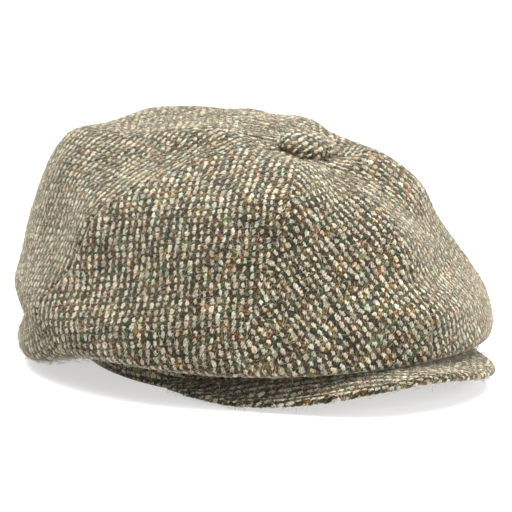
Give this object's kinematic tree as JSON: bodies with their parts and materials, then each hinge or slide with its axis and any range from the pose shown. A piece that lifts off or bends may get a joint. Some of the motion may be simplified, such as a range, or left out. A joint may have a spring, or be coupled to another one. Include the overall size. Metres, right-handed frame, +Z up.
{
  "type": "eight-panel flat cap",
  "caption": "Tweed flat cap of the baker-boy kind: a full crown of gores under a covered button, a headband and a short stiff peak, resting on its band.",
  "frame": {"origin": "bottom centre of the whole cap's box, on the surface it rests on", "axes": "+Z up, -Y towards the peak (the wearer's front), +X towards the wearer's left"},
  "size_m": [0.2472, 0.2814, 0.1254],
  "materials": {
    "tweed": "woven wool tweed, light dots on dark brown with teal, rust and olive flecks",
    "headband_tweed": "the same woven wool tweed on the headband strip"
  },
  "bodies": {
    "root": {"crown_panel_front_right": "tweed", "crown_panel_side_right": "tweed", "crown_panel_rear_right": "tweed", "crown_panel_back_right": "tweed", "crown_panel_back_left": "tweed", "crown_panel_rear_left": "tweed", "crown_panel_side_left": "tweed", "crown_panel_front_left": "tweed", "headband": "headband_tweed", "peak": "tweed", "button": "tweed"}
  },
  "joints": []
}
